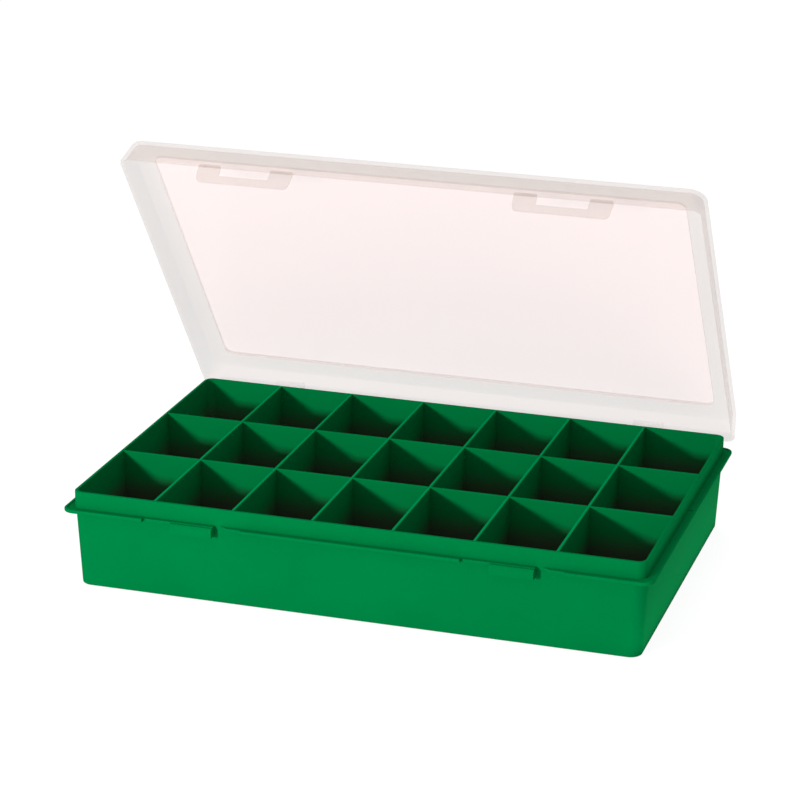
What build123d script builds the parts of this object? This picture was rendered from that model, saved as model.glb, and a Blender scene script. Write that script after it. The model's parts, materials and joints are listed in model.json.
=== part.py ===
"""Small parts box: a moulded tray with 21 fixed compartments under a hinged see-through lid.

Millimetres. X runs to the right, Y to the back, Z up. The origin is the centre of the
compartment grid on the plane that the box stands on. The lid is drawn shut, where its fits
are, and then swung open about its hinge to the angle at which it rests.
"""
from build123d import *
from math import cos, radians, sin, sqrt, tan
import os

# Compartments
COLUMNS = 7
ROWS = 3
CELL_WIDTH = 38.1
CELL_DEPTH = 58.0
WALL = 1.45
FLOOR = 1.6
LEAN_SIDE = 1.85
LEAN_FRONT = 1.15
LEAN_REAR = 0.5
CELL_CORNER = 3.6
EDGE_ROUND = 0.35

# Tray outside
TRAY_HEIGHT = 48.15
RIM_CORNER = 4.5
TRAY_CORNER = 6.0
FOOT_WALL = 1.35
FOOT_ROUND = 0.8

# Flange round the tray that the lid shuts down on
RIM_ABOVE_FLANGE = 7.8
FLANGE_OVERHANG_SIDE = 4.0
FLANGE_OVERHANG_FRONT = 4.7
FLANGE_OVERHANG_REAR = 3.35
FLANGE_CORNER = 5.5
LIP_HEIGHT = 1.7
LIP_WIDTH = 1.4
LIP_ROUND = 0.45
GROOVE_DEPTH = 0.4
BRIDGE_LENGTH = 6.0
BRIDGE_MIDDLE = 4.0
BRIDGE_BELOW_LIP = 0.1

# Catches on the front of the flange
CATCH_FROM_END = 62.25
NOSE_WIDTH = 21.2
NOSE_BELOW_LIP = 0.8
NOSE_RAMP = 0.9
NOTCH_INNER = 13.4
NOTCH_OUTER = 17.8

# Lid
LID_INSET = 0.4
LID_INSET_SIDE = 0.0
LID_DEPTH = 13.1
LID_WALL = 1.8
LID_DRAFT = 5.0
LID_RIM_CORNER = 5.0
LID_TOP_CORNER = 8.5
LID_TOP_ROUND = 1.5
WINDOW_MARGIN = 10.7
WINDOW_MARGIN_REAR = 13.0
WINDOW_CORNER = 4.5
WINDOW_RECESS = 0.4
REST_ANGLE = 53.3

# Latch tabs that hang from the lid's front rim by a thin moulded hinge
TAB_ROOT_WIDTH = 48.0
TAB_END_WIDTH = 46.0
TAB_LENGTH = 9.6
TAB_THICKNESS = 1.5
TAB_CORNER = 2.6
TAB_WINDOW_WIDTH = 25.4
TAB_WINDOW_DEPTH = 5.8
TAB_HINGE_BEAD = 0.35
TAB_GRIP_RIB = 0.7

# Hinge
HINGE_FROM_END = 42.85
HINGE_BEHIND_FLANGE = 4.55
HINGE_BELOW_LIP = 1.4
KNUCKLE_RADIUS = 2.6
KNUCKLE_WIDTH = 16.0
KNUCKLE_ARM_HEIGHT = 7.0
EAR_THICKNESS = 3.0
EAR_GUSSET = 9.0
EAR_SLOPE = 45.0
PIN_RADIUS = 1.3
HEEL_WIDTH = 1.6
OPEN_ANGLE = 110.0

# Clearances
LID_ON_LIP = 0.1
SIDE_CLEARANCE = 0.3
NOSE_CLEARANCE = 0.3
TAB_SIDE_CLEARANCE = 0.8
BEAD_CLEARANCE = 0.05
PIN_CLEARANCE = 0.05
STOP_CLEARANCE = 0.05

# Compartment grid
column_pitch = CELL_WIDTH + WALL
row_pitch = CELL_DEPTH + WALL
grid_width = COLUMNS * column_pitch - WALL
grid_depth = ROWS * row_pitch - WALL
cell_height = TRAY_HEIGHT - FLOOR

# Outlines as width, front and rear: the outer walls lean out from the floor to the raised rim
floor_inside = (grid_width, -grid_depth / 2, grid_depth / 2 - LEAN_REAR)
rim_width = grid_width + 2 * (LEAN_SIDE + WALL)
rim_front = grid_depth / 2 + LEAN_FRONT + WALL
rim_rear = grid_depth / 2 + WALL
rim = (rim_width, -rim_front, rim_rear)
catch_offset = rim_width / 2 - CATCH_FROM_END
hinge_offset = rim_width / 2 - HINGE_FROM_END

# Levels, from the table up
lip_top = TRAY_HEIGHT - RIM_ABOVE_FLANGE
lip_bottom = lip_top - LIP_HEIGHT
groove_bottom = lip_top - GROOVE_DEPTH
lid_rim = lip_top + LID_ON_LIP
lid_top = lid_rim + LID_DEPTH

# Flange and lid outlines
flange_width = rim_width + 2 * FLANGE_OVERHANG_SIDE
flange_front = rim_front + FLANGE_OVERHANG_FRONT
flange_rear = rim_rear + FLANGE_OVERHANG_REAR
flange_edge = (flange_width, -flange_front, flange_rear)
lid_width = flange_width - 2 * LID_INSET_SIDE
lid_half_depth = flange_front - LID_INSET
lid_draft_step = LID_DEPTH * tan(radians(LID_DRAFT))

# Hinge line and latch hinge line, with the lid shut
hinge_y = flange_rear + HINGE_BEHIND_FLANGE
hinge_z = lip_top - HINGE_BELOW_LIP
tab_face = -lid_half_depth
tab_pivot_y = tab_face + TAB_HINGE_BEAD
tab_pivot_z = lid_rim - TAB_HINGE_BEAD - BEAD_CLEARANCE
nose_bottom = lid_rim - TAB_WINDOW_DEPTH + NOSE_CLEARANCE
seat_y = tab_face + TAB_THICKNESS + SIDE_CLEARANCE


def block(x_range, y_range, z_range):
    """A rectangular block between the given limits."""
    size = [high - low for low, high in (x_range, y_range, z_range)]
    middle = [(high + low) / 2 for low, high in (x_range, y_range, z_range)]
    return Pos(*middle) * Box(*size)


def outline(size, corner, level, inset=0):
    """A rounded rectangle on a level, a set distance inside a width, front line and rear line."""
    width, front, rear = size
    shape = RectangleRounded(width - 2 * inset, rear - front - 2 * inset, corner - inset)
    return Pos(0, (front + rear) / 2, level) * shape


def slab(size, corner, z_range, inset=0):
    """A prism with rounded upright corners between two levels."""
    return extrude(outline(size, corner, z_range[0], inset), amount=z_range[1] - z_range[0])


def profile_along_x(points, x_range):
    """A solid with a straight-sided outline of (y, z) points, drawn along X."""
    corners = [(x_range[0], y, z) for y, z in points]
    face = make_face(Polyline(*corners, close=True))
    return extrude(face, amount=x_range[1] - x_range[0], dir=(1, 0, 0))


def rod_along_x(radius, x_range, y, z):
    """A round bar along X."""
    middle = (x_range[0] + x_range[1]) / 2
    return Pos(middle, y, z) * Rot(0, 90, 0) * Cylinder(radius, x_range[1] - x_range[0])


def edges_at(solid, level):
    """The edges of a solid that lie in one horizontal plane."""
    tolerance = 0.001
    return solid.edges().filter_by_position(Axis.Z, level - tolerance, level + tolerance)


def cavity():
    """The whole inside of the tray, a little narrower at the floor so that it leaves its mould."""
    low = outline(floor_inside, CELL_CORNER, FLOOR)
    high = outline(rim, CELL_CORNER + WALL, TRAY_HEIGHT, WALL)
    return loft([low, high], ruled=True)


def tray_body():
    """The outside of the tray below the flange, narrowing towards the foot."""
    foot = outline(floor_inside, TRAY_CORNER - FOOT_WALL, 0, -FOOT_WALL)
    body = loft([foot, outline(rim, TRAY_CORNER, lip_bottom)], ruled=True)
    return fillet(edges_at(body, 0), FOOT_ROUND)


def flange():
    """The flange: a plate with a lip along its edge, a groove behind the lip and two bridges."""
    ring = slab(flange_edge, FLANGE_CORNER, (lip_bottom, lip_top))
    ring = fillet(edges_at(ring, lip_top) + edges_at(ring, lip_bottom), LIP_ROUND)
    groove = slab(flange_edge, FLANGE_CORNER, (groove_bottom, lip_top), LIP_WIDTH)
    ring -= groove - slab(rim, RIM_CORNER, (groove_bottom, lip_top))
    for side in (-1, 1):
        outer = side * (flange_width / 2 - LIP_WIDTH / 2)
        x_range = sorted((side * (rim_width / 2 - WALL / 2), outer))
        y_range = (BRIDGE_MIDDLE - BRIDGE_LENGTH / 2, BRIDGE_MIDDLE + BRIDGE_LENGTH / 2)
        ring += block(x_range, y_range, (lip_bottom, lip_top - BRIDGE_BELOW_LIP))
    return ring


def catch_seat(centre):
    """What is cut out of the flange's edge for one latch tab: a shallow seat and a deeper notch."""
    half_seat = TAB_ROOT_WIDTH / 2 + TAB_SIDE_CLEARANCE
    front = -flange_front
    seat = block((centre - half_seat, centre + half_seat), (front, seat_y), (lip_bottom, lip_top))
    corners = [
        (centre + NOSE_WIDTH / 2, front, lip_bottom),
        (centre + NOSE_WIDTH / 2, -rim_front, lip_bottom),
        (centre + NOTCH_INNER, -rim_front, lip_bottom),
        (centre + NOTCH_OUTER, seat_y, lip_bottom),
        (centre + NOTCH_OUTER, front, lip_bottom),
    ]
    notch = extrude(make_face(Polyline(*corners, close=True)), amount=LIP_HEIGHT, dir=(0, 0, 1))
    return seat + notch


def tray_shell():
    """The tray without its inner walls: floor, outer walls, raised rim and flange."""
    raised = slab(rim, RIM_CORNER, (lip_bottom, TRAY_HEIGHT))
    raised = fillet(edges_at(raised, TRAY_HEIGHT), EDGE_ROUND)
    edge = flange()
    for centre in (-catch_offset, catch_offset):
        edge -= catch_seat(centre)
    return tray_body() + edge + raised - cavity()


def divider(along_x, position):
    """One inner wall, trimmed to the tray's inside, with its top edges rounded."""
    thick = (position - WALL / 2, position + WALL / 2)
    long = (-rim_width, rim_width)
    levels = (FLOOR, TRAY_HEIGHT)
    if along_x:
        plate = block(long, thick, levels) & cavity()
        top_edges = edges_at(plate, TRAY_HEIGHT).filter_by(Axis.X)
    else:
        plate = block(thick, long, levels) & cavity()
        top_edges = edges_at(plate, TRAY_HEIGHT).filter_by(Axis.Y)
    return fillet(top_edges, EDGE_ROUND)


def crossing(column_x, row_y, z_range):
    """The upright stretch that a row wall and a column wall share."""
    x_range = (column_x - WALL / 2, column_x + WALL / 2)
    y_range = (row_y - WALL / 2, row_y + WALL / 2)
    return block(x_range, y_range, z_range)


def catch_nose(centre, shell):
    """The nose in the seat: a block under the flange, with a ramp that the tab rides over."""
    top = lip_top - NOSE_BELOW_LIP
    inner = WALL - rim_front
    points = [
        (inner, nose_bottom),
        (inner, top),
        (NOSE_RAMP - flange_front, top),
        (-flange_front, top - NOSE_RAMP),
        (-flange_front, nose_bottom),
    ]
    nose = profile_along_x(points, (centre - NOSE_WIDTH / 2, centre + NOSE_WIDTH / 2))
    side_edges = nose.edges().filter_by(Axis.Z).group_by(Axis.Y)[0]
    return fillet(side_edges, EDGE_ROUND) - shell


def tray_outside():
    """The tray filled solid up to the top of the flange's lip."""
    return tray_body() + slab(flange_edge, FLANGE_CORNER, (lip_bottom, lip_top))


def hinge_ears(centre, filled_tray):
    """Two upright ears on the back of the tray, bored for the lid's hinge pin."""
    gap = KNUCKLE_WIDTH + 2 * SIDE_CLEARANCE
    inner = flange_rear - HINGE_BEHIND_FLANGE
    slope = radians(EAR_SLOPE)
    shoulder = hinge_z + sqrt(KNUCKLE_RADIUS**2 - (hinge_y - lid_half_depth) ** 2)
    points = [
        (inner, shoulder),
        (lid_half_depth, shoulder),
        (hinge_y, hinge_z),
        (hinge_y + KNUCKLE_RADIUS * cos(slope), hinge_z - KNUCKLE_RADIUS * sin(slope)),
        (inner, hinge_z - EAR_GUSSET),
    ]
    pair = None
    for side in (-1, 1):
        x_range = sorted((centre + side * gap / 2, centre + side * (gap / 2 + EAR_THICKNESS)))
        ear = profile_along_x(points, x_range) + rod_along_x(KNUCKLE_RADIUS, x_range, hinge_y, hinge_z)
        ear -= rod_along_x(PIN_RADIUS + PIN_CLEARANCE, x_range, hinge_y, hinge_z)
        ear -= filled_tray
        pair = ear if pair is None else pair + ear
    return pair


def swung_open(solid, angle=REST_ANGLE):
    """A piece of the lid turned about the hinge from shut to the given angle."""
    return solid.rotate(Axis((0, hinge_y, hinge_z), (-1, 0, 0)), angle)


def lid_solid(inset, top):
    """The lid filled solid, a set distance inside its outer faces and up to a level."""
    step = (top - lid_rim) * tan(radians(LID_DRAFT))
    rim_size = (lid_width, -lid_half_depth, lid_half_depth)
    top_size = (lid_width - 2 * step, step - lid_half_depth, lid_half_depth - step)
    low = outline(rim_size, LID_RIM_CORNER, lid_rim, inset)
    high = outline(top_size, LID_TOP_CORNER, top, inset)
    return loft([low, high], ruled=True)


def lid_outside():
    """The lid's outer form with its top edge rounded."""
    solid = lid_solid(0, lid_top)
    return fillet(edges_at(solid, lid_top), LID_TOP_ROUND)


def window_prism(z_range):
    """The outline of the clear window between two levels."""
    inset = lid_draft_step + WINDOW_MARGIN
    rear = lid_half_depth + WINDOW_MARGIN - WINDOW_MARGIN_REAR
    return slab((lid_width, -lid_half_depth, rear), WINDOW_CORNER + inset, z_range, inset)


def lid_frame():
    """The frosted border of the lid with the skirt round it."""
    frame = lid_outside() - lid_solid(LID_WALL, lid_top - LID_WALL)
    frame -= window_prism((lid_top - 2 * LID_WALL, lid_top + LID_WALL))
    rim_edges = edges_at(frame, lid_rim)
    return fillet(rim_edges, EDGE_ROUND)


def lid_window():
    """The clear pane, set a little below the border's outer face."""
    return window_prism((lid_top - LID_WALL, lid_top - WINDOW_RECESS))


def hinge_knuckle(centre, lid_outer):
    """One knuckle on the back of the lid, with its pin and the heel that stops the lid."""
    x_range = (centre - KNUCKLE_WIDTH / 2, centre + KNUCKLE_WIDTH / 2)
    pin_reach = SIDE_CLEARANCE + EAR_THICKNESS
    arm_top = lid_rim + KNUCKLE_ARM_HEIGHT
    inner = lid_half_depth - LID_WALL
    arm = profile_along_x(
        [
            (inner, lid_rim + EDGE_ROUND),
            (lid_half_depth, lid_rim + EDGE_ROUND),
            (hinge_y, hinge_z),
            (hinge_y + KNUCKLE_RADIUS, hinge_z),
            (hinge_y + KNUCKLE_RADIUS, lid_rim + EDGE_ROUND),
            (lid_half_depth, arm_top),
            (inner, arm_top),
        ],
        x_range,
    )
    reach = sqrt((HINGE_BEHIND_FLANGE - STOP_CLEARANCE) ** 2 - (HEEL_WIDTH / 2) ** 2)
    heel = block(x_range, (-reach, 0), (-HEEL_WIDTH / 2, HEEL_WIDTH / 2))
    heel = swung_open(Pos(0, hinge_y, hinge_z) * heel, -OPEN_ANGLE)
    pin_range = (x_range[0] - pin_reach, x_range[1] + pin_reach)
    knuckle = arm + rod_along_x(KNUCKLE_RADIUS, x_range, hinge_y, hinge_z) + heel
    knuckle += rod_along_x(PIN_RADIUS, pin_range, hinge_y, hinge_z)
    return knuckle - lid_outer


def latch_tab(centre):
    """A latch tab: two arms beside a window, a bar below it and a bead that hangs it on the rim."""
    root = tab_pivot_z
    end = lid_rim - TAB_LENGTH
    corners = [
        (centre - TAB_ROOT_WIDTH / 2, tab_face, root),
        (centre - TAB_END_WIDTH / 2, tab_face, end),
        (centre + TAB_END_WIDTH / 2, tab_face, end),
        (centre + TAB_ROOT_WIDTH / 2, tab_face, root),
    ]
    plate = extrude(make_face(Polyline(*corners, close=True)), amount=TAB_THICKNESS, dir=(0, 1, 0))
    plate = fillet(plate.edges().filter_by(Axis.Y).group_by(Axis.Z)[0], TAB_CORNER)
    arm_range = (TAB_WINDOW_WIDTH / 2, TAB_ROOT_WIDTH / 2)
    for side in (-1, 1):
        x_range = sorted(centre + side * x for x in arm_range)
        plate += rod_along_x(TAB_HINGE_BEAD, x_range, tab_pivot_y, tab_pivot_z)
    half_window = TAB_WINDOW_WIDTH / 2
    window_levels = (lid_rim - TAB_WINDOW_DEPTH, lid_rim)
    faces = (tab_face - TAB_THICKNESS, tab_face + 2 * TAB_THICKNESS)
    plate -= block((centre - half_window, centre + half_window), faces, window_levels)
    rib_range = (centre - half_window, centre + half_window)
    return plate + rod_along_x(TAB_GRIP_RIB, rib_range, tab_face + TAB_GRIP_RIB / 2, end + TAB_CORNER)


def write(name, solid):
    """Writes one piece under its node name."""
    export_step(solid, f"parts/{name}.step")


def build():
    """Makes every piece and writes it."""
    os.makedirs("parts", exist_ok=True)
    shell = tray_shell()
    write("tray_shell", shell)

    column_places = [(i - COLUMNS / 2) * column_pitch for i in range(1, COLUMNS)]
    row_places = [(i - ROWS / 2) * row_pitch for i in range(1, ROWS)]
    half_height = FLOOR + cell_height / 2
    for number, y in enumerate(row_places, 1):
        wall = divider(True, y)
        for x in column_places:
            wall -= crossing(x, y, (half_height, TRAY_HEIGHT))
        write(f"row_divider_{number}", wall)
    for number, x in enumerate(column_places, 1):
        wall = divider(False, x)
        for y in row_places:
            wall -= crossing(x, y, (FLOOR, half_height))
        write(f"column_divider_{number}", wall)

    filled_tray = tray_outside()
    lid_outer = lid_outside()
    write("lid_frame", swung_open(lid_frame()))
    write("lid_window", swung_open(lid_window()))
    for name, side in (("left", -1), ("right", 1)):
        write(f"catch_nose_{name}", catch_nose(side * catch_offset, shell))
        write(f"latch_tab_{name}", swung_open(latch_tab(side * catch_offset)))
        write(f"hinge_ears_{name}", hinge_ears(side * hinge_offset, filled_tray))
        write(f"hinge_knuckle_{name}", swung_open(hinge_knuckle(side * hinge_offset, lid_outer)))


build()
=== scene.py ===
import json
import math
from collections import namedtuple

import bmesh
import bpy
from mathutils import Matrix, Vector


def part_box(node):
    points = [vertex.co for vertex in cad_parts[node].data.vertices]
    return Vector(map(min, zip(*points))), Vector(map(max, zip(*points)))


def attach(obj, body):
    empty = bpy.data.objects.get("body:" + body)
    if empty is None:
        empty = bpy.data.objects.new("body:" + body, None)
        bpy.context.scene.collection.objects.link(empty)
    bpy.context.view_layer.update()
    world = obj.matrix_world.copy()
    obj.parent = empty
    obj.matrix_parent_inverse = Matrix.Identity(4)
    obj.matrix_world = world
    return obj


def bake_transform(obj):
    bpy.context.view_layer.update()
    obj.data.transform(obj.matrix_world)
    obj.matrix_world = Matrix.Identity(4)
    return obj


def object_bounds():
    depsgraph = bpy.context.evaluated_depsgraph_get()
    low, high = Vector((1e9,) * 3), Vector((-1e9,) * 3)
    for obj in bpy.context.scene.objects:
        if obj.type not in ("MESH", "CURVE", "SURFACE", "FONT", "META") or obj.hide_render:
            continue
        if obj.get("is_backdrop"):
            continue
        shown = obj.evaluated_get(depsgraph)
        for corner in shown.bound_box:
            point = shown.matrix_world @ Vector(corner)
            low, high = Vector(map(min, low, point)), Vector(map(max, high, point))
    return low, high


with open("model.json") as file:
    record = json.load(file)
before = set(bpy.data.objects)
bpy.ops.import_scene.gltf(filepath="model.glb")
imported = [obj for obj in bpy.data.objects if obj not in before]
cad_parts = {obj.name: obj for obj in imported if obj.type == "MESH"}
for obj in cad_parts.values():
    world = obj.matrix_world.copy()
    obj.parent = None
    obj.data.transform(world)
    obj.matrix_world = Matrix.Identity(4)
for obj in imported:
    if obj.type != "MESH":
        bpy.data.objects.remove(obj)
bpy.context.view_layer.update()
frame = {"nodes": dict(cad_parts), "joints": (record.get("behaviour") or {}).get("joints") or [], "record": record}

bl_info = {
    "name": "Small Parts Box",
    "version": (1, 0, 0),
    "blender": (4, 5, 0),
    "location": "View3D > Sidebar > Parts Box",
    "description": "Finishes, thin details and a plain studio for a compartment box with a clear lid",
    "category": "Object",
}

MM = 0.001

JOINTS = {joint["name"]: joint for joint in frame["joints"]}
LID_REST = math.radians(-JOINTS["lid_hinge"]["range_deg"][0])
LID_TURN = Matrix.Rotation(-LID_REST, 3, "X")
BODIES = frame["record"]["behaviour"]["bodies"]
TRAY_NODES = BODIES["tray"]
LID_NODES = [name for name in BODIES["lid"] if name != "lid_window"]
SIDES = ("left", "right")

# The photograph's viewpoint, worked out from the box's own straight edges
VIEW_FROM = Vector((0.38805, -1.27272, 0.54158))
VIEW_AZIMUTH = math.radians(17.157)
VIEW_FALL = math.radians(19.108)
VIEW_ROLL = math.radians(0.61)
VIEW_LENS = 129.07
SENSOR = 36.0

# Lamps: a low key at the front left, a wide one overhead, a strip on the floor at the right
# and a soft one behind the box
KEY_PLACE = Vector((-0.52, -1.30, 0.33))
KEY_SIZE = (0.11, 0.11)
TOP_PLACE = Vector((0.1, -0.1, 1.5))
TOP_SIZE = (0.8, 0.8)
BOUNCE_SIZE = (0.063, 0.22)
BOUNCE_GAP = 0.0285
BOUNCE_LIFT = 0.5 * MM
BACK_PLACE = Vector((-0.6, 1.3, 0.5))
BACK_SIZE = (0.3, 0.3)

# How far from the box's middle its shadow on the floor starts to fade and is gone
SHADOW_REACH = (0.24, 0.42)
FLOOR_HALF_SPAN = 6.0
FLOOR_DROP = 0.2 * MM

# A hinge web, in mm from the pivot line of its latch tab with the lid shut: the heights of its
# rows, how far up and down the bend reaches, and its outer face's place from front to back
WEB_ROWS = (1.0, 0.6, 0.3, 0.1, -0.1, -0.3, -0.6, -0.9)
WEB_OUTSIDE = -0.37

# The section of the hollow radii: flats in its curve, and how far its back and foot sink in
RADIUS_STEPS = 4
RADIUS_OVERLAP = 0.15 * MM

# The middle part of a noise's values, where nearly all of them lie
NOISE_MIDDLE = (0.3, 0.7)

# Rubbed edges: how far the surface turns there, where the rubbing breaks up, and its least share
EDGE_TURN = (0.01, 0.25)
EDGE_BREAKS = (0.35, 0.65)
EDGE_LEAST = 0.25

# Hairlines: the turn and the stretch of each set, its turn about Y as a share of the others, and
# the lines' width as a part of the noise
HAIRLINE_SETS = ((0.35, 14.0), (-0.9, 9.0))
HAIRLINE_TILT = 0.7
HAIRLINE_WIDTH = 0.006

# Painted shade, darker towards the compartments' floors: its colour, the levels between which that of the
# floor comes in, how far a face looks inwards before it is full, and the scale and the thinnest part of
# its clouds
PAINTED_SHADE_COLOUR = (0.050, 0.033, 0.029)
FLOOR_LEVELS = (3.0 * MM, 2.0 * MM)
INWARD_FADE = (0.0, -0.01)
SHADE_CLOUD_SCALE = 90.0
SHADE_THINNEST = 0.9

# How square to a direction a face is where the floor's painted shade, the painted highlight on the tops
# and the painted light on the lid's sides come in and are full
FLOOR_FACING = (0.4, 0.8)
TOP_FACING = (0.3, 0.8)
SIDE_FACING = (0.8, 0.2)

# What all the plastics share
RUBBED_SHARE = 0.35
HAIRLINE_SHARE = 0.35
HAIRLINE_DULLING = 0.12
ROUGHNESS_SPREAD = 0.03
SKIN_STRENGTH = 0.12
SKIN_DEPTH = 0.05 * MM
PLASTIC_IOR = 1.49

# Specular levels: the photograph's green shows next to no gloss, and the lid a little
TRAY_SHINE = 0.0002
TRAY_SHINE_TINT = (0.15, 1.0, 0.6)
FROST_SHINE = 0.3
PANE_SHINE = 0.2
PLAIN_SHINE_TINT = (1.0, 1.0, 1.0)

# The milky plastic's edges are a touch paler, and its knuckles less dense than the rest
FROST_EDGE_LIFT = 1.04
KNUCKLE_BODY = 0.4


# Node helpers

def add_node(tree, kind, **values):
    """Adds a node and sets its properties and plain inputs."""
    node = tree.nodes.new(kind)
    for name, value in values.items():
        if name in node.bl_rna.properties:
            setattr(node, name, value)
        else:
            node.inputs[name.replace("_", " ")].default_value = value
    return node


def math_node(tree, operation, first, second=0.0, clamp=False):
    """A Math node of two inputs, each a socket or a number."""
    node = tree.nodes.new("ShaderNodeMath")
    node.operation = operation
    node.use_clamp = clamp
    for socket, value in zip(node.inputs, (first, second)):
        if isinstance(value, bpy.types.NodeSocket):
            tree.links.new(value, socket)
        else:
            socket.default_value = value
    return node.outputs[0]


def remap(tree, value, low, high, to_low, to_high):
    """Stretches a value from one range to another, clamped."""
    node = tree.nodes.new("ShaderNodeMapRange")
    tree.links.new(value, node.inputs["Value"])
    for name, number in (("From Min", low), ("From Max", high), ("To Min", to_low), ("To Max", to_high)):
        node.inputs[name].default_value = number
    return node.outputs["Result"]


def mix_colour(tree, factor, first, second):
    """A colour mix of two sockets or plain colours."""
    node = tree.nodes.new("ShaderNodeMix")
    node.data_type = "RGBA"
    sockets = [s for s in node.inputs if s.enabled]
    for socket, value in zip(sockets, (factor, first, second)):
        if isinstance(value, bpy.types.NodeSocket):
            tree.links.new(value, socket)
        elif isinstance(value, (int, float)):
            socket.default_value = value
        else:
            socket.default_value = (*value[:3], 1.0)
    return next(s for s in node.outputs if s.enabled)


def new_group(name, inputs, outputs):
    """An empty shader node group with float inputs (name, default) and the named outputs."""
    group = bpy.data.node_groups.new(name, "ShaderNodeTree")
    for label, default in inputs:
        socket = group.interface.new_socket(label, in_out="INPUT", socket_type="NodeSocketFloat")
        socket.default_value = default
    for label, kind in outputs:
        group.interface.new_socket(label, in_out="OUTPUT", socket_type=kind)
    start = group.nodes.new("NodeGroupInput")
    end = group.nodes.new("NodeGroupOutput")
    return group, start, end


def background_rays(tree):
    """1 for the rays that see the background as it is: from the camera, in gloss and through glass."""
    path = tree.nodes.new("ShaderNodeLightPath")
    direct = math_node(tree, "MAXIMUM", path.outputs["Is Camera Ray"], path.outputs["Is Glossy Ray"])
    return math_node(tree, "MAXIMUM", direct, path.outputs["Is Transmission Ray"])


def sized_noise(group, vector, size, **values):
    """A noise over a vector, its size a socket in millimetres."""
    noise = add_node(group, "ShaderNodeTexNoise", **values)
    group.links.new(vector, noise.inputs["Vector"])
    group.links.new(math_node(group, "DIVIDE", 1.0 / MM, size), noise.inputs["Scale"])
    return noise.outputs["Fac"]


def normal_along(group, direction):
    """How far a face points along a direction, from -1 to 1."""
    surface = add_node(group, "ShaderNodeNewGeometry")
    along = add_node(group, "ShaderNodeVectorMath", operation="DOT_PRODUCT")
    group.links.new(surface.outputs["Normal"], along.inputs[0])
    along.inputs[1].default_value = direction
    return along.outputs["Value"]


def height_of(group, coords):
    """Height above the box's base, in metres."""
    place = add_node(group, "ShaderNodeSeparateXYZ")
    group.links.new(coords.outputs["Object"], place.inputs["Vector"])
    return place.outputs["Z"]


def moulded_skin_group():
    """The skin of moulded plastic: a fine grain, slow waves and a cloudy mask."""
    group, start, end = new_group(
        "Moulded skin",
        [("Grain size", 0.4), ("Grain depth", 0.5), ("Wave size", 25.0)],
        [("Height", "NodeSocketFloat"), ("Cloud", "NodeSocketFloat")],
    )
    coords = add_node(group, "ShaderNodeTexCoord")
    vector = coords.outputs["Object"]
    fine = sized_noise(group, vector, start.outputs["Grain size"], Detail=3.0, Roughness=0.6)
    slow = sized_noise(group, vector, start.outputs["Wave size"], Detail=2.0, Roughness=0.5)
    grain = math_node(group, "MULTIPLY", fine, start.outputs["Grain depth"])
    group.links.new(math_node(group, "ADD", grain, slow), end.inputs["Height"])
    group.links.new(slow, end.inputs["Cloud"])
    return group


def edge_group():
    """A mask of the rounded edges, where a moulding is rubbed pale and smooth."""
    group, start, end = new_group(
        "Edge wear",
        [("Width", 0.6), ("Break up", 6.0)],
        [("Edge", "NodeSocketFloat")],
    )
    bevel = add_node(group, "ShaderNodeBevel", samples=6)
    radius = math_node(group, "MULTIPLY", start.outputs["Width"], MM)
    group.links.new(radius, bevel.inputs["Radius"])
    surface = add_node(group, "ShaderNodeNewGeometry")
    dot = add_node(group, "ShaderNodeVectorMath", operation="DOT_PRODUCT")
    group.links.new(bevel.outputs["Normal"], dot.inputs[0])
    group.links.new(surface.outputs["Normal"], dot.inputs[1])
    bend = math_node(group, "SUBTRACT", 1.0, dot.outputs["Value"], clamp=True)
    coords = add_node(group, "ShaderNodeTexCoord")
    size = start.outputs["Break up"]
    noise = sized_noise(group, coords.outputs["Object"], size, Detail=4.0, Roughness=0.7)
    broken = remap(group, noise, *EDGE_BREAKS, EDGE_LEAST, 1.0)
    strength = remap(group, bend, *EDGE_TURN, 0.0, 1.0)
    group.links.new(math_node(group, "MULTIPLY", strength, broken), end.inputs["Edge"])
    return group


def hairline_group():
    """Sparse hairline scratches that run two ways."""
    group, start, end = new_group(
        "Hairlines",
        [("Spacing", 18.0), ("Amount", 0.5)],
        [("Scratch", "NodeSocketFloat")],
    )
    coords = add_node(group, "ShaderNodeTexCoord")
    lines = []
    for turn, stretch in HAIRLINE_SETS:
        place = add_node(group, "ShaderNodeMapping")
        place.inputs["Rotation"].default_value = (turn, turn * HAIRLINE_TILT, turn)
        place.inputs["Scale"].default_value = (1.0, stretch, stretch)
        group.links.new(coords.outputs["Object"], place.inputs["Vector"])
        spacing = start.outputs["Spacing"]
        noise = sized_noise(group, place.outputs["Vector"], spacing, Detail=1.0, Roughness=0.4)
        middle = math_node(group, "ABSOLUTE", math_node(group, "SUBTRACT", noise, 0.5))
        lines.append(remap(group, middle, 0.0, HAIRLINE_WIDTH, 1.0, 0.0))
    both = math_node(group, "MAXIMUM", lines[0], lines[1])
    group.links.new(math_node(group, "MULTIPLY", both, start.outputs["Amount"]), end.inputs["Scratch"])
    return group


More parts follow.
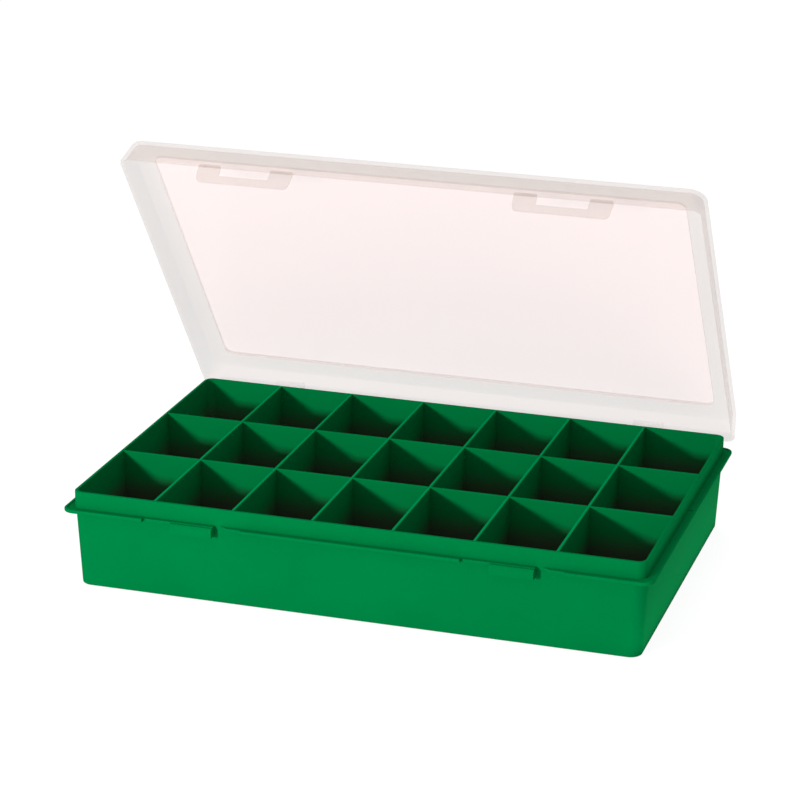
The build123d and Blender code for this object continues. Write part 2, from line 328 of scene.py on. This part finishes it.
def cell_painted_shade_group():
    """Painted shade on the compartments' inner faces: none at the rim, dark and cloudy at the floor."""
    group, start, end = new_group(
        "Cell painted shade",
        [("Shade start level", 38.0), ("Full shade level", 24.0), ("Outer wall", 0.0)],
        [("Grime", "NodeSocketFloat")],
    )
    coords = add_node(group, "ShaderNodeTexCoord")
    height = height_of(group, coords)

    # A face looks inwards where its normal points back along the way from the box's middle
    surface = add_node(group, "ShaderNodeNewGeometry")
    flat = add_node(group, "ShaderNodeVectorMath", operation="MULTIPLY")
    group.links.new(surface.outputs["Normal"], flat.inputs[0])
    flat.inputs[1].default_value = (1.0, 1.0, 0.0)
    outwards = add_node(group, "ShaderNodeVectorMath", operation="DOT_PRODUCT")
    group.links.new(flat.outputs["Vector"], outwards.inputs[0])
    group.links.new(coords.outputs["Object"], outwards.inputs[1])
    faces_in = remap(group, outwards.outputs["Value"], *INWARD_FADE, 0.0, 1.0)

    low = remap(group, height, *FLOOR_LEVELS, 0.0, 1.0)
    faces_up = remap(group, normal_along(group, (0, 0, 1)), *FLOOR_FACING, 0.0, 1.0)
    on_floor = math_node(group, "MULTIPLY", low, faces_up)
    inside = math_node(group, "MAXIMUM", faces_in, on_floor)
    free = math_node(group, "SUBTRACT", 1.0, start.outputs["Outer wall"])
    inside = math_node(group, "MAXIMUM", inside, free, clamp=True)

    # The painted shade deepens between the two levels, cloudy at random
    span = add_node(group, "ShaderNodeMapRange", interpolation_type="SMOOTHSTEP")
    group.links.new(height, span.inputs["Value"])
    for name, label in (("From Min", "Shade start level"), ("From Max", "Full shade level")):
        group.links.new(math_node(group, "MULTIPLY", start.outputs[label], MM), span.inputs[name])
    noise = add_node(group, "ShaderNodeTexNoise", Scale=SHADE_CLOUD_SCALE, Detail=3.0, Roughness=0.6)
    group.links.new(coords.outputs["Object"], noise.inputs["Vector"])
    cloudy = remap(group, noise.outputs["Fac"], *NOISE_MIDDLE, SHADE_THINNEST, 1.0)
    deep = math_node(group, "MULTIPLY", span.outputs["Result"], cloudy)
    group.links.new(math_node(group, "MULTIPLY", deep, inside), end.inputs["Grime"])
    return group


def lid_painted_light_group():
    """Painted light on the lid: what stands square to the lid's flat top, but not where it faces the lid's front.
    """
    group, _, end = new_group("Lid painted light", [], [("Side", "NodeSocketFloat")])
    flat = math_node(group, "ABSOLUTE", normal_along(group, LID_TURN @ Vector((0, 0, 1))))
    square = remap(group, flat, *SIDE_FACING, 0.0, 1.0)
    rearward = remap(group, normal_along(group, LID_TURN @ Vector((0, 1, 0))), -1.0, 0.0, 0.0, 1.0)
    group.links.new(math_node(group, "MULTIPLY", square, rearward), end.inputs["Side"])
    return group


def top_highlight_group():
    """A mask of what faces up near the tray's rim, where a highlight is painted on."""
    group, start, end = new_group("Painted top highlight", [("Level", 40.0)], [("Top", "NodeSocketFloat")])
    coords = add_node(group, "ShaderNodeTexCoord")
    level = math_node(group, "MULTIPLY", start.outputs["Level"], MM)
    above = math_node(group, "GREATER_THAN", height_of(group, coords), level)
    faces_up = remap(group, normal_along(group, (0, 0, 1)), *TOP_FACING, 0.0, 1.0)
    group.links.new(math_node(group, "MULTIPLY", above, faces_up), end.inputs["Top"])
    return group


# The shared groups, each built when a material first asks for it
GROUPS = {}


def place_group(tree, name, maker, **values):
    """Places a shared group in a material with its own values."""
    if name not in GROUPS:
        GROUPS[name] = maker()
    node = tree.nodes.new("ShaderNodeGroup")
    node.node_tree = GROUPS[name]
    for label, value in values.items():
        node.inputs[label.replace("_", " ")].default_value = value
    return node


# What sets one plastic apart. The painted shade share and top say how much painted shade towards the
# compartments' floors and how much painted highlight on the tops it shows, outer is 1 for a piece whose
# outside faces get no painted shade, and side_colour is for what stands square to the lid, where the
# lid's skirt and tabs get painted light
Finish = namedtuple(
    "Finish",
    "colour edge_colour roughness spread grain grain_depth alpha shine shine_tint "
    "grime outer top side_colour",
    defaults=(0.0, 0.0, 0.0, None))


def plastic(name, finish):
    """A moulded plastic: a little colour and gloss variation, a fine skin and softened edges."""
    material = bpy.data.materials.new(name)
    material.use_nodes = True
    tree = material.node_tree
    shader = tree.nodes["Principled BSDF"]
    skin = place_group(
        tree, "skin", moulded_skin_group, Grain_size=finish.grain, Grain_depth=finish.grain_depth)
    edge = place_group(tree, "edge", edge_group)
    scratch = place_group(tree, "hairline", hairline_group, Amount=HAIRLINE_SHARE)
    cloud = skin.outputs["Cloud"]

    clouded = add_node(tree, "ShaderNodeVectorMath", operation="SCALE")
    clouded.inputs[0].default_value = finish.colour
    shade = remap(tree, cloud, *NOISE_MIDDLE, 1.0 - finish.spread, 1.0 + finish.spread)
    tree.links.new(shade, clouded.inputs["Scale"])
    rubbed = math_node(tree, "MULTIPLY", edge.outputs["Edge"], RUBBED_SHARE)
    colour = mix_colour(tree, rubbed, clouded.outputs["Vector"], finish.edge_colour)
    # Painted light: faces square to the lid's top take a paler colour that lifts their shade
    if finish.side_colour:
        side = place_group(tree, "side", lid_painted_light_group)
        colour = mix_colour(tree, side.outputs["Side"], colour, finish.side_colour)
    # Painted highlight: the tops near the rim take the paler edge colour
    if finish.top:
        top = place_group(tree, "top", top_highlight_group)
        highlighted = math_node(tree, "MULTIPLY", top.outputs["Top"], finish.top)
        colour = mix_colour(tree, highlighted, colour, finish.edge_colour)
    # Painted shade: the colour darkens towards the compartments' floors
    if finish.grime:
        shade_mask = place_group(tree, "grime", cell_painted_shade_group, Outer_wall=finish.outer)
        shade_share = math_node(tree, "MULTIPLY", shade_mask.outputs["Grime"], finish.grime)
        colour = mix_colour(tree, shade_share, colour, PAINTED_SHADE_COLOUR)
    tree.links.new(colour, shader.inputs["Base Color"])

    smoothest = finish.roughness - ROUGHNESS_SPREAD
    roughest = finish.roughness + ROUGHNESS_SPREAD
    base = remap(tree, cloud, *NOISE_MIDDLE, smoothest, roughest)
    dull = math_node(tree, "MULTIPLY", scratch.outputs["Scratch"], HAIRLINE_DULLING)
    tree.links.new(math_node(tree, "ADD", base, dull), shader.inputs["Roughness"])

    bump = add_node(tree, "ShaderNodeBump", Strength=SKIN_STRENGTH, Distance=SKIN_DEPTH)
    height = math_node(tree, "SUBTRACT", skin.outputs["Height"], scratch.outputs["Scratch"])
    tree.links.new(height, bump.inputs["Height"])
    tree.links.new(bump.outputs["Normal"], shader.inputs["Normal"])
    shader.inputs["Alpha"].default_value = finish.alpha
    shader.inputs["IOR"].default_value = PLASTIC_IOR
    shader.inputs["Specular IOR Level"].default_value = finish.shine
    shader.inputs["Specular Tint"].default_value = (*finish.shine_tint, 1.0)
    return material


def dress(node_name, material):
    """Gives every slot of a carried-over node one material."""
    mesh = frame["nodes"][node_name].data
    if not mesh.materials:
        mesh.materials.append(material)
    for index in range(len(mesh.materials)):
        mesh.materials[index] = material


class BoxFinish(bpy.types.PropertyGroup):
    """Colours and gloss of the box's plastics."""

    tray_colour: bpy.props.FloatVectorProperty(
        name="Tray green", description="Colour of the tray's opaque plastic", subtype="COLOR",
        size=3, min=0.0, max=1.0, default=(0.0, 0.155, 0.039))
    tray_edge: bpy.props.FloatVectorProperty(
        name="Tray edge", description="Paler green where the tray's edges are rounded", subtype="COLOR",
        size=3, min=0.0, max=1.0, default=(0.0, 0.22, 0.065))
    # Painted highlight: a paler green on the tops of the walls that run from front to back
    top_highlight_colour: bpy.props.FloatVectorProperty(
        name="Painted top highlight", description="Pale green on the tops of the walls that run from front to back",
        subtype="COLOR", size=3, min=0.0, max=1.0, default=(0.0, 0.235, 0.07))
    tray_gloss: bpy.props.FloatProperty(
        name="Tray roughness", description="Roughness of the tray's skin", subtype="FACTOR",
        min=0.0, max=1.0, default=0.42)
    # Painted shade, darker towards the compartments' floors
    grime: bpy.props.FloatProperty(
        name="Grime", description="How dark the compartments are towards their floors", subtype="FACTOR",
        min=0.0, max=1.0, default=0.85)
    frost_colour: bpy.props.FloatVectorProperty(
        name="Lid frosting", description="Colour of the lid's milky plastic", subtype="COLOR",
        size=3, min=0.0, max=1.0, default=(0.50, 0.40, 0.36))
    # Painted light: a paler colour that lifts the shade on the lid's skirt and tabs
    frost_painted_light: bpy.props.FloatVectorProperty(
        name="Skirt painted light", description="Colour of the lid's skirt and tabs, which pass more light",
        subtype="COLOR", size=3, min=0.0, max=1.0, default=(0.73, 0.61, 0.57))
    frost_body: bpy.props.FloatProperty(
        name="Frosting body", description="How much the milky plastic hides what is behind it",
        subtype="FACTOR", min=0.0, max=1.0, default=0.2)
    pane_colour: bpy.props.FloatVectorProperty(
        name="Pane tint", description="Tint of the clear pane", subtype="COLOR",
        size=3, min=0.0, max=1.0, default=(0.84, 0.54, 0.51))
    pane_side: bpy.props.FloatVectorProperty(
        name="Pane edge", description="Colour of the pane's narrow edges", subtype="COLOR",
        size=3, min=0.0, max=1.0, default=(0.9, 0.87, 0.86))
    pane_body: bpy.props.FloatProperty(
        name="Pane body", description="How much the clear pane hides what is behind it",
        subtype="FACTOR", min=0.0, max=1.0, default=0.17)


class MouldedDetails(bpy.types.PropertyGroup):
    """Sizes of the thin moulded details that the scene adds."""

    columns: bpy.props.IntProperty(name="Columns", description="Compartments across", min=2, default=7)
    rows: bpy.props.IntProperty(name="Rows", description="Compartments from front to back", min=2, default=3)
    cell_width: bpy.props.FloatProperty(
        name="Cell width", description="Clear width of a compartment", unit="LENGTH",
        min=0.0, default=38.1 * MM)
    cell_depth: bpy.props.FloatProperty(
        name="Cell depth", description="Clear depth of a compartment from front to back", unit="LENGTH",
        min=0.0, default=58.0 * MM)
    wall: bpy.props.FloatProperty(
        name="Wall", description="Thickness of the walls between compartments", unit="LENGTH",
        min=0.0, default=1.45 * MM)
    floor: bpy.props.FloatProperty(
        name="Floor", description="Thickness of the tray's floor", unit="LENGTH", min=0.0, default=1.6 * MM)
    radius: bpy.props.FloatProperty(
        name="Floor radius", description="Hollow radius where a wall meets the floor", unit="LENGTH",
        min=0.0, default=1.2 * MM)
    corner_gap: bpy.props.FloatProperty(
        name="Corner gap", description="How far the radii of the four corner compartments stop short",
        unit="LENGTH", min=0.0, default=1.4 * MM)
    web_thickness: bpy.props.FloatProperty(
        name="Web", description="Thickness of the webs that the latch tabs bend on", unit="LENGTH",
        min=0.0, default=0.3 * MM)
    web_inner: bpy.props.FloatProperty(
        name="Web start", description="Where a web starts, from the middle of its tab", unit="LENGTH",
        min=0.0, default=13.0 * MM)
    web_end_gap: bpy.props.FloatProperty(
        name="Web end gap", description="How far a web stops short of the tab's side", unit="LENGTH",
        min=0.0, default=0.4 * MM)


class StudioSetup(bpy.types.PropertyGroup):
    """The floor, the lamps and the ambient light."""

    key_power: bpy.props.FloatProperty(
        name="Key lamp", description="Power of the main soft lamp at the front left", subtype="POWER",
        unit="POWER", min=0.0, default=17.0)
    top_power: bpy.props.FloatProperty(
        name="Top lamp", description="Power of the wide lamp overhead", subtype="POWER",
        unit="POWER", min=0.0, default=6.0)
    back_power: bpy.props.FloatProperty(
        name="Back lamp", description="Power of the soft lamp behind the box", subtype="POWER",
        unit="POWER", min=0.0, default=6.0)
    bounce_power: bpy.props.FloatProperty(
        name="Side bounce", description="Power of the low reflector at the right", subtype="POWER",
        unit="POWER", min=0.0, default=0.075)
    ambient: bpy.props.FloatProperty(
        name="Ambient", description="Strength of the even light from all around", min=0.0, default=0.54)
    floor_shadow: bpy.props.FloatProperty(
        name="Floor shadow", description="How strongly the box's shadow shows on the white floor",
        subtype="FACTOR", min=0.0, max=1.0, default=0.16)
    floor_colour: bpy.props.FloatVectorProperty(
        name="Floor", description="Colour of the plain floor", subtype="COLOR",
        size=3, min=0.0, max=1.0, default=(0.9, 0.9, 0.9))
    floor_lift: bpy.props.FloatProperty(
        name="Floor lift", description="How far the floor is lifted towards white where the camera sees it",
        min=0.0, default=0.91)


class PARTSBOX_OT_tray(bpy.types.Operator):
    """Dress the tray, its inner walls, noses and hinge ears in green plastic"""

    bl_idname = "parts_box.tray"
    bl_label = "Green Tray"

    def execute(self, context):
        look = context.scene.box_finish
        finish = Finish(
            colour=tuple(look.tray_colour), edge_colour=tuple(look.tray_edge), roughness=look.tray_gloss,
            spread=0.03, grain=0.35, grain_depth=0.6, alpha=1.0,
            shine=TRAY_SHINE, shine_tint=TRAY_SHINE_TINT)
        # Painted shade darkens the tray's compartments towards their floors
        painted_shade_finish = finish._replace(grime=look.grime)
        # The column walls get a painted highlight: their tops and rounded edges take a paler green
        highlighted = painted_shade_finish._replace(edge_colour=tuple(look.top_highlight_colour), top=1.0)
        finishes = {
            "tray_shell": plastic("Green tray shell", painted_shade_finish._replace(outer=1.0)),
            "row_divider": plastic("Green row wall", painted_shade_finish),
            "column_divider": plastic("Green column wall", highlighted),
        }
        plain = plastic("Green moulded plastic", finish)
        for name in TRAY_NODES:
            kind = name.rstrip("_0123456789")
            dress(name, finishes.get(kind, plain))
        return {"FINISHED"}


class PARTSBOX_OT_lid(bpy.types.Operator):
    """Dress the lid's border, skirt, knuckles and latch tabs in milky plastic"""

    bl_idname = "parts_box.lid"
    bl_label = "Milky Lid"

    def execute(self, context):
        look = context.scene.box_finish
        colour = tuple(look.frost_colour)
        edge = tuple(min(1.0, channel * FROST_EDGE_LIFT) for channel in colour)
        finish = Finish(
            colour=colour, edge_colour=edge, roughness=0.5, spread=0.012, grain=0.25, grain_depth=1.0,
            alpha=look.frost_body, shine=FROST_SHINE, shine_tint=PLAIN_SHINE_TINT,
            side_colour=tuple(look.frost_painted_light))
        milky = plastic("Milky moulded plastic", finish)
        sheer = plastic("Sheer moulded plastic", finish._replace(alpha=look.frost_body * KNUCKLE_BODY))
        for name in LID_NODES + [f"latch_tab_{side}" for side in SIDES]:
            dress(name, sheer if "knuckle" in name else milky)
        return {"FINISHED"}


class PARTSBOX_OT_pane(bpy.types.Operator):
    """Dress the lid's pane in clear polished plastic"""

    bl_idname = "parts_box.pane"
    bl_label = "Clear Pane"

    def execute(self, context):
        look = context.scene.box_finish
        colour = tuple(look.pane_colour)
        finish = Finish(
            colour=colour, edge_colour=colour, roughness=0.12, spread=0.008, grain=0.5, grain_depth=0.2,
            alpha=look.pane_body, shine=PANE_SHINE, shine_tint=PLAIN_SHINE_TINT,
            side_colour=tuple(look.pane_side))
        dress("lid_window", plastic("Clear polished plastic", finish))
        return {"FINISHED"}


def new_piece(name, mesh, material=None):
    """A piece of the scene's own, placed by its mesh, with its finish."""
    piece = bpy.data.objects.new(name, mesh)
    bpy.context.scene.collection.objects.link(piece)
    if material:
        mesh.materials.append(material)
    return piece


def web_mesh(name, pivot, spans, thickness):
    """Thin strips over a tab's pivot line, made on the shut lid and turned open with it."""
    shape = bmesh.new()
    outer = WEB_OUTSIDE * MM
    inner = outer + thickness
    for start, end in spans:
        corners = [(start, outer), (end, outer), (end, inner), (start, inner)]
        rings = []
        for row in WEB_ROWS:
            rings.append([
                shape.verts.new(pivot + Vector((x, 0, 0)) + LID_TURN @ Vector((0, y, row * MM)))
                for x, y in corners
            ])
        for upper, lower in zip(rings, rings[1:]):
            for here in range(len(upper)):
                after = (here + 1) % len(upper)
                shape.faces.new((upper[here], upper[after], lower[after], lower[here]))
        shape.faces.new(rings[0])
        shape.faces.new(rings[-1])
    bmesh.ops.recalc_face_normals(shape, faces=shape.faces)
    mesh = bpy.data.meshes.new(name)
    shape.to_mesh(mesh)
    shape.free()
    return mesh


class PARTSBOX_OT_webs(bpy.types.Operator):
    """Bridge the lid and each latch tab with the thin webs that the tab bends on"""

    bl_idname = "parts_box.webs"
    bl_label = "Hinge Webs"

    def execute(self, context):
        detail = context.scene.moulded_details
        material = frame["nodes"]["latch_tab_left"].data.materials[0]
        for side in SIDES:
            low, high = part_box(f"latch_tab_{side}")
            middle = (low[0] + high[0]) / 2
            near = detail.web_inner
            far = (high[0] - low[0]) / 2 - detail.web_end_gap
            pivot = Vector(JOINTS[f"latch_{side}_hinge"]["pos_m"])
            pivot.x = 0
            spans = [(middle - far, middle - near), (middle + near, middle + far)]
            mesh = web_mesh(f"latch_web_{side}", pivot, spans, detail.web_thickness)
            piece = new_piece(f"latch_web_{side}", mesh, material)
            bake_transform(piece)
        return {"FINISHED"}


def radius_strip(radius):
    """A hollow radius of unit length along X, its back in the wall at y 0, its foot in the floor at z 0."""
    outline = [(-RADIUS_OVERLAP, -RADIUS_OVERLAP), (radius, -RADIUS_OVERLAP)]
    for step in range(RADIUS_STEPS + 1):
        turn = math.pi / 2 * step / RADIUS_STEPS
        outline.append((radius * (1 - math.sin(turn)), radius * (1 - math.cos(turn))))
    outline.append((-RADIUS_OVERLAP, radius))
    shape = bmesh.new()
    ends = [[shape.verts.new((x, y, z)) for y, z in outline] for x in (-0.5, 0.5)]
    for here in range(len(outline)):
        after = (here + 1) % len(outline)
        shape.faces.new((ends[0][here], ends[0][after], ends[1][after], ends[1][here]))
    for end in ends:
        shape.faces.new(end)
    bmesh.ops.recalc_face_normals(shape, faces=shape.faces)
    mesh = bpy.data.meshes.new("radius_strip")
    shape.to_mesh(mesh)
    shape.free()
    return mesh


def radii_tree():
    """A Geometry Nodes tree that lays four strips round the floor of every compartment."""
    tree = bpy.data.node_groups.new("Cell floor radii", "GeometryNodeTree")
    for label, kind in (
            ("Strip", "NodeSocketObject"), ("Columns", "NodeSocketInt"), ("Rows", "NodeSocketInt"),
            ("Cell width", "NodeSocketFloat"), ("Cell depth", "NodeSocketFloat"),
            ("Wall", "NodeSocketFloat"), ("Corner gap", "NodeSocketFloat"),
            ("Material", "NodeSocketMaterial")):
        tree.interface.new_socket(label, in_out="INPUT", socket_type=kind)
    tree.interface.new_socket("Geometry", in_out="OUTPUT", socket_type="NodeSocketGeometry")
    start = tree.nodes.new("NodeGroupInput")
    end = tree.nodes.new("NodeGroupOutput")

    position = tree.nodes.new("GeometryNodeInputPosition")
    place = tree.nodes.new("ShaderNodeSeparateXYZ")
    tree.links.new(position.outputs["Position"], place.inputs["Vector"])
    grid = tree.nodes.new("GeometryNodeMeshGrid")

    # 1 for a point of the outermost columns and of the outermost rows, with 1 mm to spare
    outermost = []
    for axis, size, count in (("X", "Cell width", "Columns"), ("Y", "Cell depth", "Rows")):
        pitch = math_node(tree, "ADD", start.outputs[size], start.outputs["Wall"])
        span = math_node(tree, "MULTIPLY", pitch, math_node(tree, "SUBTRACT", start.outputs[count], 1.0))
        tree.links.new(span, grid.inputs[f"Size {axis}"])
        tree.links.new(start.outputs[count], grid.inputs[f"Vertices {axis}"])
        limit = math_node(tree, "SUBTRACT", math_node(tree, "MULTIPLY", span, 0.5), MM)
        away = math_node(tree, "ABSOLUTE", place.outputs[axis])
        outermost.append(math_node(tree, "GREATER_THAN", away, limit))
    corner = math_node(tree, "MULTIPLY", outermost[0], outermost[1])
    both_ends = math_node(tree, "MULTIPLY", start.outputs["Corner gap"], 2.0)
    shorter = math_node(tree, "MULTIPLY", corner, both_ends)

    strip = tree.nodes.new("GeometryNodeObjectInfo")
    tree.links.new(start.outputs["Strip"], strip.inputs["Object"])
    join = tree.nodes.new("GeometryNodeJoinGeometry")
    for turn, along, across in (
            (0, "Cell width", "Cell depth"), (math.pi, "Cell width", "Cell depth"),
            (-math.pi / 2, "Cell depth", "Cell width"), (math.pi / 2, "Cell depth", "Cell width")):
        laid = tree.nodes.new("GeometryNodeInstanceOnPoints")
        tree.links.new(grid.outputs["Mesh"], laid.inputs["Points"])
        tree.links.new(strip.outputs["Geometry"], laid.inputs["Instance"])
        laid.inputs["Rotation"].default_value = (0, 0, turn)
        stretch = tree.nodes.new("ShaderNodeCombineXYZ")
        stretch.inputs["Y"].default_value = 1.0
        stretch.inputs["Z"].default_value = 1.0
        tree.links.new(math_node(tree, "SUBTRACT", start.outputs[along], shorter), stretch.inputs["X"])
        tree.links.new(stretch.outputs["Vector"], laid.inputs["Scale"])
        to_wall = tree.nodes.new("ShaderNodeCombineXYZ")
        tree.links.new(math_node(tree, "MULTIPLY", start.outputs[across], -0.5), to_wall.inputs["Y"])
        moved = tree.nodes.new("GeometryNodeTranslateInstances")
        moved.inputs["Local Space"].default_value = True
        tree.links.new(laid.outputs["Instances"], moved.inputs["Instances"])
        tree.links.new(to_wall.outputs["Vector"], moved.inputs["Translation"])
        tree.links.new(moved.outputs["Instances"], join.inputs["Geometry"])

    real = tree.nodes.new("GeometryNodeRealizeInstances")
    finish = tree.nodes.new("GeometryNodeSetMaterial")
    tree.links.new(join.outputs["Geometry"], real.inputs["Geometry"])
    tree.links.new(real.outputs["Geometry"], finish.inputs["Geometry"])
    tree.links.new(start.outputs["Material"], finish.inputs["Material"])
    tree.links.new(finish.outputs["Geometry"], end.inputs["Geometry"])
    return tree


class PARTSBOX_OT_radii(bpy.types.Operator):
    """Lay the hollow radii along the foot of every compartment's walls"""

    bl_idname = "parts_box.radii"
    bl_label = "Floor Radii"

    def execute(self, context):
        detail = context.scene.moulded_details
        strip = bpy.data.objects.new("radius_strip", radius_strip(detail.radius))
        maker = bpy.data.objects.new("radii_maker", bpy.data.meshes.new("radii_maker"))
        context.scene.collection.objects.link(maker)
        tree = radii_tree()
        values = {
            "Strip": strip, "Columns": detail.columns, "Rows": detail.rows, "Cell width": detail.cell_width,
            "Cell depth": detail.cell_depth, "Wall": detail.wall, "Corner gap": detail.corner_gap,
            "Material": frame["nodes"]["tray_shell"].data.materials[0],
        }
        modifier = maker.modifiers.new("Cell floor radii", "NODES")
        modifier.node_group = tree
        for item in tree.interface.items_tree:
            if item.in_out == "INPUT":
                modifier[item.identifier] = values[item.name]
        depsgraph = context.evaluated_depsgraph_get()
        mesh = bpy.data.meshes.new_from_object(maker.evaluated_get(depsgraph), depsgraph=depsgraph)
        bpy.data.objects.remove(maker)
        bpy.data.objects.remove(strip)
        if not mesh.polygons:
            raise RuntimeError("the floor radii came out empty")
        mesh.transform(Matrix.Translation((0, 0, detail.floor)))
        mesh.name = "cell_floor_radii"
        piece = new_piece("cell_floor_radii", mesh)
        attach(piece, "tray")
        return {"FINISHED"}


def area_lamp(name, place, aim, size, power):
    """A soft lamp of a width and a length that points at a place."""
    data = bpy.data.lights.new(name, "AREA")
    data.shape = "RECTANGLE"
    data.size, data.size_y = size
    data.energy = power
    lamp = bpy.data.objects.new(name, data)
    lamp.location = place
    lamp.rotation_euler = (Vector(aim) - Vector(place)).to_track_quat("-Z", "Y").to_euler()
    lamp.visible_camera = False
    lamp.visible_glossy = False
    bpy.context.scene.collection.objects.link(lamp)


def pale_floor(setup):
    """The floor's material: lifted to white where it is seen, but for a faint shadow by the box."""
    material = bpy.data.materials.new("Pale floor")
    material.use_nodes = True
    tree = material.node_tree
    shader = tree.nodes["Principled BSDF"]
    shader.inputs["Roughness"].default_value = 0.9
    shader.inputs["Specular IOR Level"].default_value = 0.1
    shader.inputs["Emission Color"].default_value = (1, 1, 1, 1)
    seen = background_rays(tree)
    coords = add_node(tree, "ShaderNodeTexCoord")
    away = add_node(tree, "ShaderNodeVectorMath", operation="LENGTH")
    tree.links.new(coords.outputs["Object"], away.inputs[0])
    far = remap(tree, away.outputs["Value"], *SHADOW_REACH, 0.0, 1.0)
    lift = remap(tree, far, 0.0, 1.0, setup.floor_lift, 1.0)
    tree.links.new(math_node(tree, "MULTIPLY", seen, lift), shader.inputs["Emission Strength"])
    shaded = tuple(channel * setup.floor_shadow for channel in setup.floor_colour)
    shown = mix_colour(tree, far, shaded, (0, 0, 0))
    tree.links.new(mix_colour(tree, seen, setup.floor_colour, shown), shader.inputs["Base Color"])
    return material


class PARTSBOX_OT_stage(bpy.types.Operator):
    """Set the floor, the lamps, the white surround and the camera"""

    bl_idname = "parts_box.stage"
    bl_label = "Plain Studio"

    def execute(self, context):
        setup = context.scene.studio_setup
        scene = context.scene
        low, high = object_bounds()
        centre = (Vector(low) + Vector(high)) / 2

        self.floor(setup, low[2])
        area_lamp("key_lamp", KEY_PLACE, centre, KEY_SIZE, setup.key_power)
        area_lamp("top_lamp", TOP_PLACE, (TOP_PLACE.x, TOP_PLACE.y, 0), TOP_SIZE, setup.top_power)
        area_lamp("back_lamp", BACK_PLACE, centre, BACK_SIZE, setup.back_power)
        right = high[0] + BOUNCE_GAP
        area_lamp("side_bounce", (right, 0, BOUNCE_LIFT), (right, 0, 1), BOUNCE_SIZE, setup.bounce_power)
        self.surround(setup)
        self.camera(scene)
        scene.view_settings.view_transform = "Standard"
        return {"FINISHED"}

    def floor(self, setup, level):
        """A wide pale floor under the box."""
        grid = bmesh.new()
        bmesh.ops.create_grid(grid, x_segments=2, y_segments=2, size=FLOOR_HALF_SPAN)
        mesh = bpy.data.meshes.new("floor")
        grid.to_mesh(mesh)
        grid.free()
        mesh.transform(Matrix.Translation((0, 0, level - FLOOR_DROP)))
        floor = bpy.data.objects.new("floor", mesh)
        bpy.context.scene.collection.objects.link(floor)
        mesh.materials.append(pale_floor(setup))
        floor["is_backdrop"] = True

    def surround(self, setup):
        """White where the camera, glass or gloss sees it, and a plain even light elsewhere."""
        world = bpy.data.worlds.new("White surround")
        bpy.context.scene.world = world
        world.cycles.sampling_method = "NONE"
        world.use_nodes = True
        tree = world.node_tree
        background = tree.nodes["Background"]
        background.inputs["Color"].default_value = (1, 1, 1, 1)
        level = remap(tree, background_rays(tree), 0.0, 1.0, setup.ambient, 1.0)
        tree.links.new(level, background.inputs["Strength"])

    def camera(self, scene):
        """The camera at the photograph's viewpoint."""
        data = bpy.data.cameras.new("photo_camera")
        data.sensor_width = SENSOR
        data.lens = VIEW_LENS
        data.clip_start = 0.05
        camera = bpy.data.objects.new("photo_camera", data)
        turn = Matrix.Rotation(VIEW_AZIMUTH, 4, "Z")
        tilt = Matrix.Rotation(math.pi / 2 - VIEW_FALL, 4, "X")
        roll = Matrix.Rotation(VIEW_ROLL, 4, "Z")
        camera.matrix_world = Matrix.Translation(VIEW_FROM) @ turn @ tilt @ roll
        scene.collection.objects.link(camera)
        scene.camera = camera


class PARTSBOX_PT_panel(bpy.types.Panel):
    """Lists the steps that dress the box"""

    bl_label = "Parts Box"
    bl_idname = "PARTSBOX_PT_panel"
    bl_space_type = "VIEW_3D"
    bl_region_type = "UI"
    bl_category = "Parts Box"

    def draw(self, context):
        for step in STEPS:
            self.layout.operator(step.bl_idname)
        for group in (context.scene.box_finish, context.scene.moulded_details, context.scene.studio_setup):
            for name in group.__annotations__:
                self.layout.prop(group, name)


STEPS = (
    PARTSBOX_OT_tray, PARTSBOX_OT_lid, PARTSBOX_OT_pane,
    PARTSBOX_OT_webs, PARTSBOX_OT_radii, PARTSBOX_OT_stage)
CLASSES = (BoxFinish, MouldedDetails, StudioSetup, *STEPS, PARTSBOX_PT_panel)


def register():
    """Registers the classes and hangs the settings on the scene."""
    for cls in CLASSES:
        bpy.utils.register_class(cls)
    bpy.types.Scene.box_finish = bpy.props.PointerProperty(type=BoxFinish)
    bpy.types.Scene.moulded_details = bpy.props.PointerProperty(type=MouldedDetails)
    bpy.types.Scene.studio_setup = bpy.props.PointerProperty(type=StudioSetup)


def unregister():
    """Takes the settings and the classes away again."""
    del bpy.types.Scene.studio_setup
    del bpy.types.Scene.moulded_details
    del bpy.types.Scene.box_finish
    for cls in reversed(CLASSES):
        bpy.utils.unregister_class(cls)


def main():
    """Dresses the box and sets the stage."""
    register()
    for step in STEPS:
        group, name = step.bl_idname.split(".")
        getattr(getattr(bpy.ops, group), name)()


if __name__ == "__main__":
    main()
